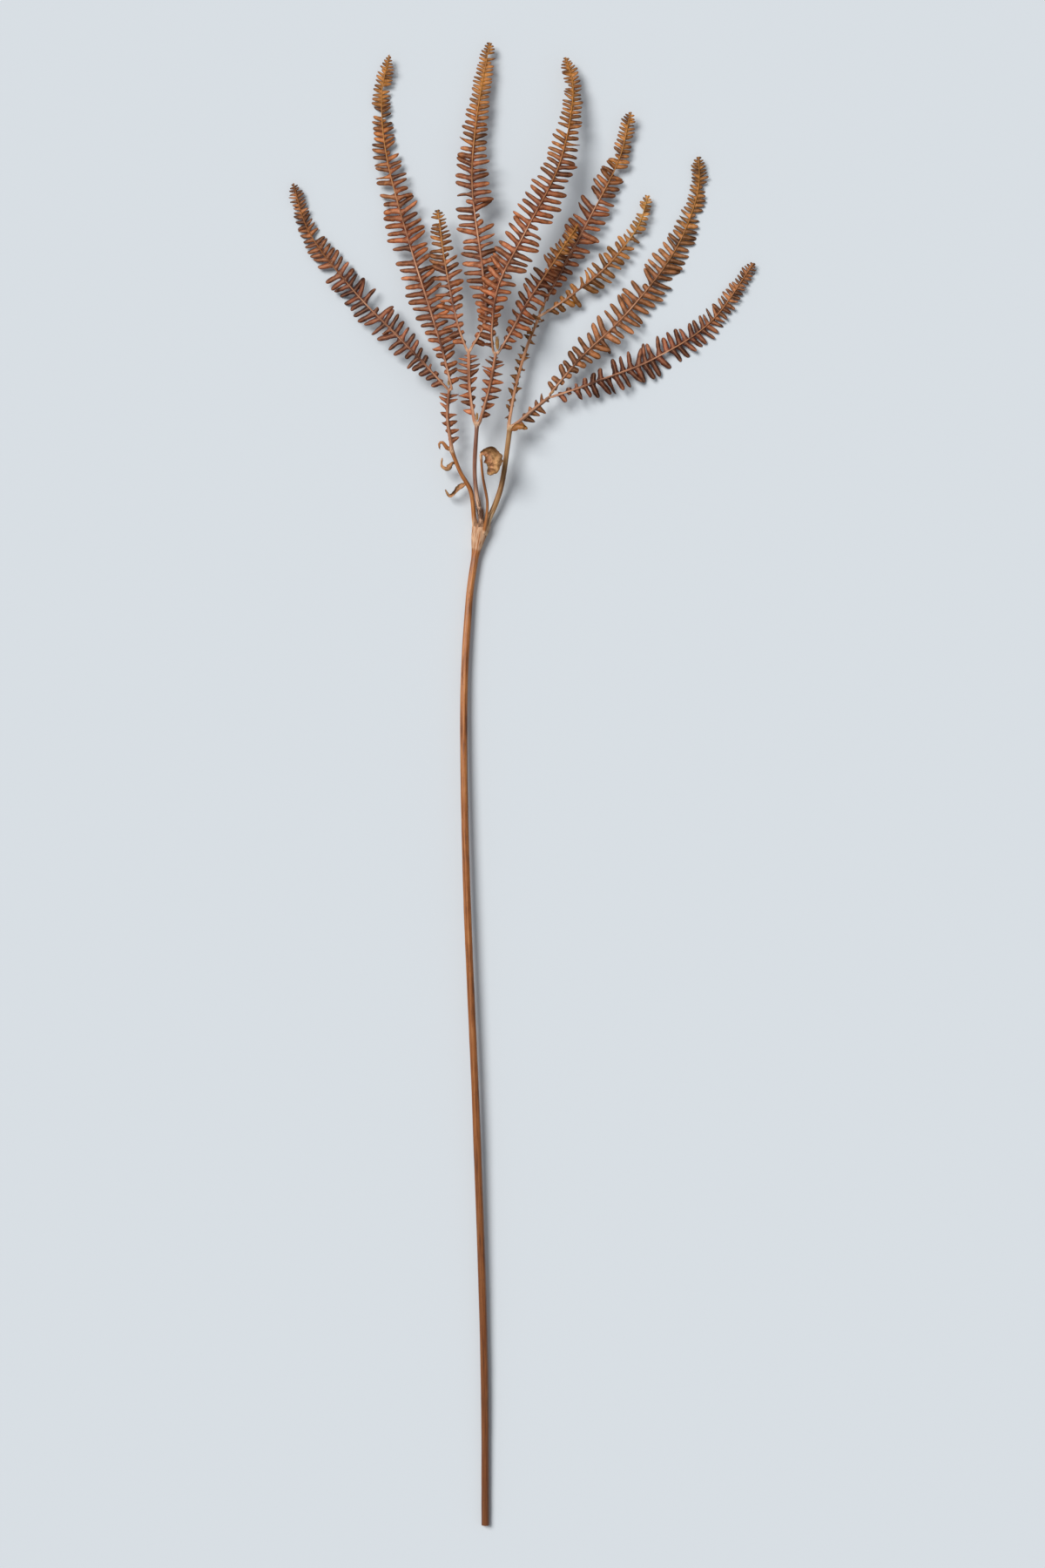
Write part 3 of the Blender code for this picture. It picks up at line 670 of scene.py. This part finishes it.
def dry_leaf(name, body, shade, tip, rib, roughness):
    """Dry papery leaf: its own colour turning to the tip's, mottling, veins and a pale midvein."""
    material, tree, shader = start_material(name, roughness)
    shader.inputs["Specular IOR Level"].default_value = 0.28
    place = put(tree, "TexCoord").outputs["Object"]
    share, out, chance = put(tree, "SeparateXYZ", {"Vector": read_attribute(tree, "blade")}).outputs
    lobe_way = read_attribute(tree, "grain")
    across, reach = put(tree, "SeparateXYZ", {"Vector": lobe_way}).outputs[:2]
    middle = calculate(tree, "ABSOLUTE", across)
    wrinkle = speckle(tree, lobe_way, 1.0, 3.0, (3.0, 330.0, 1.0))
    mottle = speckle(tree, place, 210.0, 5.0, roughness=0.6)
    patch = speckle(tree, place, 38.0, 3.0)
    fine = speckle(tree, place, 1500.0, 3.0)
    # golden towards the pinna's tip, where the lobes' ends look scorched
    towards_tip = calculate(tree, "MULTIPLY_ADD", calculate(tree, "SUBTRACT", patch, 0.5), 0.7, share)
    gold = fade(tree, towards_tip, 0.56, 0.84)
    brown = calculate(tree, "SUBTRACT", 1.0, gold)
    colour = mix(tree, gold, body, tip)
    outer = fade(tree, out, 0.25, 1.0, 0.0, 0.22)
    colour = mix(tree, calculate(tree, "MULTIPLY", outer, brown), colour, tip)
    scorched = fade(tree, out, 0.50, 1.0, 0.0, 0.75)
    colour = mix(tree, calculate(tree, "MULTIPLY", scorched, gold), colour, shade)
    # painted shade beside the midrib, where the lobes meet
    crease_shade_by_midrib = fade(tree, out, 0.05, 0.30, 0.7, 0.0)
    colour = mix(tree, calculate(tree, "MULTIPLY", crease_shade_by_midrib, brown), colour, shade)
    # a pale band along each lobe's middle: partly dust bloom, partly a painted highlight on the lobe's
    # rounded crown
    dust_and_highlight = fade(tree, middle, 0.15, 0.85, 0.5, 0.0)
    dust_and_highlight = calculate(tree, "MULTIPLY", dust_and_highlight, calculate(tree, "MULTIPLY_ADD", patch, 2.2, -0.25))
    colour = mix(tree, dust_and_highlight, colour, rib)
    # painted shade on each lobe's rolled edges
    edge = fade(tree, middle, 0.50, 1.0, 0.0, 0.92)
    edge = calculate(tree, "MULTIPLY", edge, calculate(tree, "MULTIPLY_ADD", gold, -0.45, 1.0))
    colour = mix(tree, edge, colour, shade)
    # painted shade in the wrinkles' creases, and dark mottling
    colour = mix(tree, fade(tree, wrinkle, 0.36, 0.48, 0.5, 0.0), colour, shade)
    colour = mix(tree, fade(tree, mottle, 0.42, 0.62, 0.0, 0.85), colour, shade)
    # each lobe has its own brightness, and a faint pale vein
    bright = calculate(tree, "MULTIPLY_ADD", chance, 1.0, 0.52)
    bright = calculate(tree, "MULTIPLY_ADD", patch, 0.5, calculate(tree, "SUBTRACT", bright, 0.25))
    hue = calculate(tree, "MULTIPLY_ADD", mottle, 0.03, 0.485)
    colour = put(tree, "HueSaturation", {"Color": colour, "Hue": hue, "Value": bright}).outputs[0]
    colour = mix(tree, fade(tree, middle, 0.05, 0.18, 0.4, 0.0), colour, rib)
    tree.links.new(colour, shader.inputs["Base Color"])
    # side veins, wrinkles and a fine tooth stand out from the surface
    slope = calculate(tree, "MULTIPLY_ADD", mottle, 0.0011, reach)
    slope = calculate(tree, "MULTIPLY_ADD", middle, -0.0007, slope)
    ripple = calculate(tree, "SINE", calculate(tree, "MULTIPLY", slope, 11000.0))
    height = calculate(tree, "MULTIPLY_ADD", fine, 0.6, mottle)
    height = calculate(tree, "MULTIPLY_ADD", ripple, 0.06, height)
    height = calculate(tree, "MULTIPLY_ADD", wrinkle, 1.4, height)
    rough = calculate(tree, "MULTIPLY_ADD", fine, 0.25, roughness - 0.12)
    tree.links.new(rough, shader.inputs["Roughness"])
    bump = put(tree, "Bump", {"Height": height, "Strength": 0.7, "Distance": 0.0003}).outputs[0]
    tree.links.new(bump, shader.inputs["Normal"])
    return material


# name: body, shade, tip and underside colour of the leaves
LEAF_TONES = {
    "copper": ((0.32, 0.075, 0.015), (0.075, 0.013, 0.002), (0.50, 0.205, 0.014), (0.15, 0.032, 0.007)),
    "bronze": ((0.26, 0.088, 0.017), (0.072, 0.020, 0.004), (0.42, 0.180, 0.020), (0.13, 0.040, 0.009)),
    "golden": ((0.38, 0.150, 0.019), (0.13, 0.038, 0.005), (0.52, 0.260, 0.032), (0.20, 0.074, 0.012)),
    "maroon": ((0.18, 0.036, 0.012), (0.042, 0.008, 0.003), (0.33, 0.115, 0.016), (0.09, 0.019, 0.007)),
    "tan": ((0.31, 0.135, 0.038), (0.075, 0.026, 0.007), (0.60, 0.36, 0.14), (0.14, 0.055, 0.016)),
}
RIB_COLOUR = (0.56, 0.265, 0.145)
RIB_LIGHT = (0.64, 0.36, 0.22)
RIB_CHALK = (0.62, 0.38, 0.24)
LEAF_SKINS = {}
for tone, (body, shade, tip, under) in LEAF_TONES.items():
    upper = dry_leaf(tone + "_leaf", body, shade, tip, RIB_COLOUR, 0.6)
    lower = dry_leaf(tone + "_leaf_underside", under, shade, tip, body, 0.5)
    rib_body = tuple(0.3 * leafy + 0.7 * pale for leafy, pale in zip(body, RIB_COLOUR))
    rib_tip = tuple(0.95 * channel for channel in tip)
    rib_skin = dry_stalk(tone + "_midrib", shade, rib_body, RIB_LIGHT, RIB_CHALK, 0.5, tip=rib_tip)
    LEAF_SKINS[tone] = [upper, lower, rib_skin]


MIDRIB_SIDES = 8
MIDRIB_STEP = 1.7
MIDRIB_RIB_DEPTH = 0.10
MIDRIB_SWELLING = 0.12
MIDRIB_FOOT_SWELL = 0.4
MIDRIB_FOOT_SPAN = 2.4
MIDRIB_LIFT = 0.12  # how far it stands up out of the blade


def draw_midrib(work, spine, start_radius, end_radius, phase):
    """The raised midrib, with the third material."""
    before = set(work.faces)

    def rib_radius(distance, angle):
        share = distance / spine.length
        ribs = MIDRIB_RIB_DEPTH * math.cos(3 * angle + phase)
        slow = MIDRIB_SWELLING * noise.noise(Vector((distance * 160, phase, 0.5)))
        foot = MIDRIB_FOOT_SWELL * math.exp(-((distance / MM) / MIDRIB_FOOT_SPAN) ** 2)
        body = start_radius + (end_radius - start_radius) * share**0.8
        return body * (1 + ribs + slow + foot) * MM

    def rib_pale(distance):
        return 0.8 * math.exp(-((distance / MM) / 3.0) ** 2)

    domes = (start_radius * 1.5 * MM, end_radius * 1.2 * MM)
    step, lift = MIDRIB_STEP * MM, MIDRIB_LIFT * MM
    draw_stalk(work, spine, rib_radius, MIDRIB_SIDES, step, domes, rib_pale, lift)
    for face in work.faces:
        if face not in before:
            face.material_index = 2


MIDRIB_RADIUS = (0.62, 0.2)  # at a pinna's foot and tip
# name: (fork it grows from, route, longest lobe, roll at foot and tip in degrees, the side that
# faces its twin in the fork, tone, wildness)
PINNAE = {
    "pinna_left_outer": (
        (-15.2, 72.3, 13),
        [(-16.8, 73.2, 13.1), (-36, 94, 11), (-62, 121, 6), (-86, 152, 2.6), (-95, 178, 3.5)],
        9.5, (-8, -4), 1, "maroon", 1.2,
    ),
    "pinna_left_inner": (
        (-15.2, 72.3, 13),
        [(-14.2, 73.5, 13.2), (-21, 100, 13), (-35, 145, 9), (-47, 190, 4), (-50, 222, 2.6),
         (-46, 243, 5)],
        10, (6, -6), -1, "copper", 1.0,
    ),
    "pinna_middle_1": (
        (-5.2, 91, 19.5),
        [(-6.6, 92.2, 19.6), (-11.5, 107, 21), (-17.5, 137, 18), (-21, 163, 13)],
        9, (-12, 10), 1, "copper", 1.3,
    ),
    "pinna_middle_2": (
        (-5.2, 91, 19.5),
        [(-3.9, 92.4, 19.4), (3.2, 108, 16.8), (1.5, 134, 15), (-3.6, 175, 12), (-1.5, 210, 8.5),
         (5.3, 250, 5)],
        10, (5, -4), -1, "copper", 0.8,
    ),
    "pinna_middle_3": (
        (8.6, 89.5, 20),
        [(7.2, 90.8, 20.4), (6.6, 102, 25), (10.5, 124, 27.5), (24.5, 152, 25), (40.5, 185, 19),
         (47.7, 222, 10), (44, 242, 7)],
        10.5, (-6, 8), 1, "copper", 0.9,
    ),
    "pinna_middle_4": (
        (8.6, 89.5, 20),
        [(10.1, 90.6, 20.0), (16.4, 101, 18.8), (23.4, 114, 17.4), (38, 137, 14), (50.3, 156.5, 10)],
        8.5, (4, 14), -1, "copper", 1.3,
    ),
    "pinna_right_1": (
        (31, 111, 8),
        [(30.8, 112.4, 8.0), (42, 134, 7), (57, 162, 6.4), (71, 190, 4.6), (77, 214, 6)],
        9.5, (-5, 5), 1, "copper", 1.0,
    ),
    "pinna_right_2": (
        (31, 111, 8),
        [(32.6, 111.2, 8.0), (47, 121, 7.4), (64, 135, 6), (80, 155, 4), (86, 172, 4.6)],
        7.5, (7, -10), -1, "golden", 1.4,
    ),
    "pinna_right_3": (
        (36, 69, 10),
        [(36.2, 70.4, 10.1), (51, 88, 9), (76, 113, 5), (99, 143, 2.4), (111, 172, 2.2), (112, 192, 4)],
        10, (-6, 4), 1, "bronze", 0.9,
    ),
    "pinna_right_4": (
        (36, 69, 10),
        [(37.6, 69.0, 9.9), (60, 77, 8), (89, 89, 4), (118, 108, 2.3), (140, 138, 3.2)],
        9.5, (8, -3), -1, "maroon", 1.1,
    ),
}
for name, (fork, points, longest, rolls, fork_side, tone, wild) in PINNAE.items():
    rng = random.Random(name)
    spine = Spine(points)

    def roll(share):
        return math.radians(rolls[0] + (rolls[1] - rolls[0]) * min(share, 1.0))

    pinna = start_work()
    draw_blade(pinna, spine, longest, roll, fork_side, lobe_length, LOBE_WIDTHS, wild, rng)
    thicken(pinna)
    draw_midrib(pinna, Spine([fork, *points]), *MIDRIB_RADIUS, rng.uniform(0, 6))
    bmesh.ops.recalc_face_normals(pinna, faces=pinna.faces)
    finish_piece("dried_" + name, pinna, LEAF_SKINS[tone], "pinna_copper", name)

# ------------------------------------------------------------------ lobed branches
# Between the second and third forks the stalks already carry short lobes on both sides, broad
# at the base and pointed. The long right one is twisted on edge and its lobes are crumpled.
COPPER_SHARE = 0.35  # the branches stay copper all along, and do not turn golden
BRANCH_END_LOBES = 0.75  # length of a branch's end lobes, as a share of its longest
BRANCH_CLEARANCE = 2.0  # bare length before its upper fork
# name: (arm's end, route, radius, longest lobe, roll, the side that faces its twin in the fork,
# tone, wildness)
BRANCHES = {
    "left_branch": ((-14.5, 42.4, 9.6), [(-14.2, 43.2, 9.9), (-16.2, 58, 11.5), (-15.2, 72.8, 13)],
                    0.85, 6.0, 0, -1, "copper", 1.2),
    "middle_left_branch": ((-1.0, 54.9, 16.1), [(-2.3, 55.6, 16.3), (-4.8, 72, 18), (-5.2, 91.5, 19.5)],
                           0.8, 6.5, 0, 1, "copper", 1.0),
    "middle_right_branch": ((-1.0, 54.9, 16.1), [(0.3, 55.6, 16.3), (5.6, 74, 18.4), (8.6, 90, 20)],
                            0.8, 6.5, 0, -1, "copper", 1.0),
    "right_edge_branch": ((15.6, 53.9, 11.1), [(15.0, 54.9, 11.2), (18.4, 74, 9.6), (24, 94, 8.4),
                                               (31, 111.4, 8)], 0.8, 4.2, 42, 1, "golden", 2.6),
    "right_branch": ((15.6, 53.9, 11.1), [(17.6, 54.2, 11), (26.5, 61.5, 11), (36.2, 69.2, 10)],
                     0.9, 6.0, 0, -1, "bronze", 1.1),
}
for name, (fork, points, radius, longest, turned, fork_side, tone, wild) in BRANCHES.items():
    rng = random.Random(name)
    spine = Spine(points)

    def branch_lobes(share, longest):
        room = max((1 - share) * (spine.length / MM) - BRANCH_CLEARANCE, 0.0) / 0.42
        fullness = BRANCH_END_LOBES + (1 - BRANCH_END_LOBES) * math.sin(math.pi * share)
        return min(longest * fullness, room)

    def roll(share):
        return math.radians(turned)

    branch = start_work()
    draw_blade(branch, spine, longest, roll, fork_side, branch_lobes, TOOTH_WIDTHS, wild, rng)
    thicken(branch)
    draw_midrib(branch, Spine([fork, *points]), radius * 1.05, radius * 0.95, rng.uniform(0, 6))
    blade = branch.verts.layers.float_vector["blade"]
    for vertex in branch.verts:
        share, out, chance = vertex[blade]
        vertex[blade] = (share * COPPER_SHARE, out, chance)
    bmesh.ops.recalc_face_normals(branch, faces=branch.faces)
    finish_piece("dried_" + name, branch, LEAF_SKINS[tone], "pinna_copper", name)

# ------------------------------------------------------------------ small accessory leaves
# Small leaves sit at the forks. They are ochre and tan, thin, and have dried to curled scraps:
# one crumpled leaf on the thin stalk, two curled scales by the left arm and one on the right arm.
# name: (route, width, how much wider its left half is, curl in degrees, depth of the creases, tone)
SMALL_LEAVES = {
    "stalk_leaf": ([(0.6, 39.0, 16.2), (3.2, 38.6, 17.0), (5.6, 36.2, 17.2), (6.2, 32.6, 16.6),
                    (4.6, 28.8, 15.2)], 9.5, 0.42, 78, 1.7, "tan"),
    "lower_scale_leaf": ([(-5.0, 24.4, 6.0), (-7.6, 24.6, 6.4), (-11.5, 22, 6.6), (-15.2, 19, 5.4),
                          (-17.4, 22, 4.8)], 3.0, 0.0, 105, 0.9, "tan"),
    "upper_scale_leaf": ([(-11.4, 34.8, 8.2), (-13.8, 35.4, 8.6), (-16.4, 32.6, 8.8), (-19.2, 34, 8.0),
                          (-18.8, 38, 7.2)], 2.8, 0.0, -105, 0.9, "tan"),
    "right_scale_leaf": ([(15.8, 52.0, 12.0), (17.4, 52.0, 13.2), (20.5, 53.4, 14.4), (24.5, 52, 14)],
                         3.4, 0.0, 75, 0.9, "golden"),
}
LEAF_CELLS, CROSS_CELLS = 40, 20
TEAR_DEPTH = 0.35
# the crumpling is folds of three sizes: how close they lie, and how high they stand
FOLDS = ((0.34, 1.0), (0.85, 0.5), (1.9, 0.3))
# three places in the same noise, so that the crumpling drifts differently along each axis
DRIFTS_APART = (Vector((9.3, -1.5, -7.9)), Vector((4.1, 6.7, 2.3)), Vector((-5.2, 3.8, 8.4)))
for name, (points, width, lopsided, curl, creases, tone) in SMALL_LEAVES.items():
    rng = random.Random(name)
    spine = Spine(points)
    leaf = start_work()
    blade = leaf.verts.layers.float_vector["blade"]
    grain = leaf.verts.layers.float_vector["grain"]
    grid = bmesh.ops.create_grid(leaf, x_segments=LEAF_CELLS, y_segments=CROSS_CELLS, size=0.5)
    seed = rng.uniform(0, 50)
    for vertex in grid["verts"]:
        share, beside = vertex.co.x + 0.5, vertex.co.y * 2
        # the outline is torn, and lopsided
        torn = noise.noise(Vector((share * 6, seed, math.copysign(2, beside))))
        torn += 0.6 * noise.noise(Vector((share * 19, seed, math.copysign(5, beside))))
        fullness = 0.04 + 0.96 * math.sin(math.pi * (0.03 + 0.95 * share)) ** 0.8
        half = width * MM / 2 * fullness * (1 + TEAR_DEPTH * torn) * (1 - lopsided * beside)
        # the blade is rolled across, and crumpled
        bend = math.radians(abs(curl)) * (0.6 + 0.4 * math.sin(share * 9 + seed))
        right, up = spine.frame(share * spine.length)
        across = half * math.sin(beside * bend) / bend
        rise = half * (1 - math.cos(beside * bend)) / bend * math.copysign(1, curl)
        place = spine.place(share * spine.length) + right * across + up * rise
        fold = Vector((share * spine.length, beside * half, seed * MM)) / MM
        ridge = sum(high * (0.5 - abs(noise.noise(fold * close))) for close, high in FOLDS)
        drift = Vector([noise.noise(fold * 0.22 + apart) for apart in DRIFTS_APART]) * 0.6
        settle = min(1.0, share * 7)
        vertex.co = place + (up * (ridge - 0.5) * creases + drift * creases) * MM * settle
        # the crests of the crumpling take more of the pale tip colour: a painted highlight on the ridges
        vertex[blade] = (0.35 + 0.4 * share + 0.3 * ridge, abs(beside), 0.6)
        vertex[grain] = (beside, share * spine.length * 0.7, 0.0)
    thicken(leaf)
    bmesh.ops.recalc_face_normals(leaf, faces=leaf.faces)
    finish_piece("dried_" + name, leaf, LEAF_SKINS[tone][:2], "leaf_golden", name)

# ------------------------------------------------------------------ buds and knuckle fibres
# A dormant bud sits in each fork under short overlapping scales. The one in the knuckle is dark
# and hairy. Pale fibres lie along the knuckle itself, and some stand up between the arms.
BUD_SKINS = {
    "dark": dry_stalk("dark_bud_scales", (0.04, 0.018, 0.01), (0.13, 0.055, 0.028), (0.26, 0.13, 0.07),
                      (0.5, 0.32, 0.2), 0.75),
    "ochre": dry_stalk("ochre_bud_scales", (0.14, 0.06, 0.02), (0.36, 0.18, 0.055), (0.52, 0.32, 0.12),
                       (0.60, 0.40, 0.22), 0.65),
    "straw": dry_stalk("straw_fibres", (0.20, 0.09, 0.045), (0.46, 0.26, 0.15), (0.66, 0.44, 0.29),
                       (0.60, 0.40, 0.26), 0.7),
}


def draw_fibre(work, root, direction, length, width):
    """A flat pointed scale or fibre, from its root along a direction."""
    grain = work.verts.layers.float_vector["grain"]
    fibre = bmesh.ops.create_cone(
        work, cap_ends=True, segments=5, radius1=width / 2, radius2=width * 0.05, depth=length
    )["verts"]
    bmesh.ops.translate(work, verts=fibre, vec=(0, 0, length / 2))
    for vertex in fibre:
        vertex[grain] = (vertex.co.x, vertex.co.y, vertex.co.z)
    bmesh.ops.scale(work, verts=fibre, vec=(1.0, 0.4, 1.0))
    aim = direction.normalized().to_track_quat("Z", "Y").to_matrix().to_4x4()
    bmesh.ops.transform(work, matrix=Matrix.Translation(root) @ aim, verts=fibre)


# name: (middle, half width, half length, heading, skin, number of scales)
BUDS = {
    "knuckle_bud": ((1.0, 9.6, 6.6), 1.1, 2.6, 92, "dark", 110),
    "right_edge_bud": ((32.2, 113.4, 9.4), 0.5, 1.2, 55, "ochre", 12),
    "left_fork_bud": ((-15.6, 75.2, 14.3), 0.5, 1.3, 98, "ochre", 12),
    "middle_fork_bud": ((-1.1, 57.8, 17.8), 0.7, 2.0, 90, "ochre", 18),
    "yellow_fork_bud": ((9.2, 94.4, 21.6), 0.9, 3.4, 93, "ochre", 34),
    "right_fork_bud": ((37.3, 71.0, 11.3), 0.5, 1.2, 48, "ochre", 12),
}
BUD_TAPER = 0.35  # how much slimmer a bud's tip is than its foot
GOLDEN_ANGLE = math.radians(137.5)  # from each scale round to the next
for name, (centre, half_width, half_length, heading, skin, scales) in BUDS.items():
    rng = random.Random(name)
    bud = start_work()
    grain = bud.verts.layers.float_vector["grain"]
    egg = bmesh.ops.create_uvsphere(bud, u_segments=12, v_segments=8, radius=1.0)["verts"]
    for vertex in egg:
        x, y, z = vertex.co
        taper = 1 - BUD_TAPER * max(z, 0.0)
        vertex.co = Vector((x * half_width * taper, y * half_width * taper, z * half_length)) * MM
        vertex[grain] = vertex.co
    hairy = skin == "dark"
    for number in range(scales):
        level = (number + 0.5) / scales
        angle = number * GOLDEN_ANGLE
        height = (-0.9 + 1.6 * level) * half_length * MM
        round_off = math.sqrt(max(1 - (height / (half_length * MM)) ** 2, 0.05))
        outward = Vector((math.cos(angle), math.sin(angle), 0.0))
        lift = Vector((0, 0, 1)) + outward * rng.uniform(0.05, 0.6 if hairy else 0.4)
        width = half_width * MM * (rng.uniform(0.12, 0.32) if hairy else rng.uniform(0.35, 0.7))
        root = outward * (half_width * MM * round_off * 0.85) + Vector((0, 0, height))
        draw_fibre(bud, root, lift, half_length * MM * rng.uniform(0.45, 0.9), width)
    lie_down = Matrix.Rotation(math.radians(-90), 4, "X")
    lie_down = Matrix.Rotation(math.radians(heading - 90), 4, "Z") @ lie_down
    place = Matrix.Translation(origin + Vector(centre) * MM)
    bmesh.ops.transform(bud, matrix=place @ lie_down, verts=bud.verts)
    bmesh.ops.recalc_face_normals(bud, faces=bud.faces)
    finish_piece("dried_" + name, bud, [BUD_SKINS[skin]], "bud_scaly", name)


def grow_fibre(work, spine, distance, reach, length, width, dark, rng):
    """A fibre that leaves a stalk at a slant, reach from its middle line, in a chosen material."""
    angle = rng.uniform(0, 2 * math.pi)
    right, up = spine.frame(distance)
    outward = right * math.cos(angle) + up * math.sin(angle)
    root = spine.place(distance) + outward * (reach(distance, angle) - 0.22 * MM)
    root.z = max(root.z, 0.2 * MM)
    aim = spine.forward(distance) + outward * rng.uniform(0.05, 0.22) + right * rng.gauss(0, 0.12)
    before = set(work.faces)
    draw_fibre(work, root, aim, length, width)
    for face in set(work.faces) - before:
        face.material_index = int(dark)


CROTCH_RADIUS = 1.35  # how far the fibres between the arms stand from the middle arm's line


def crotch_reach(distance, angle):
    return CROTCH_RADIUS * MM


KNUCKLE_FIBRES = 340
CROTCH_FIBRES = 190
FIBRE_SPAN = 13.0  # how far down the knuckle and up the middle arm they are spread
fibres = start_work()
rng = random.Random("knuckle fibres")
for number in range(KNUCKLE_FIBRES):
    distance = stipe_spine.length - (rng.random() ** 1.4 * FIBRE_SPAN + 0.6) * MM
    length = rng.uniform(1.8, 5.0) * MM
    width = rng.uniform(0.12, 0.34) * MM
    grow_fibre(fibres, stipe_spine, distance, stipe_radius, length, width, rng.random() < 0.16, rng)
crotch_spine = Spine(ARMS["middle_arm"][0])
for number in range(CROTCH_FIBRES):
    distance = (3.5 + FIBRE_SPAN * rng.random() ** 1.5) * MM
    length = rng.uniform(1.2, 3.6) * MM
    width = rng.uniform(0.10, 0.24) * MM
    grow_fibre(fibres, crotch_spine, distance, crotch_reach, length, width, rng.random() < 0.8, rng)
bmesh.ops.recalc_face_normals(fibres, faces=fibres.faces)
finish_piece("knuckle_fibres", fibres, [BUD_SKINS["straw"], BUD_SKINS["dark"]], "bud_scaly")
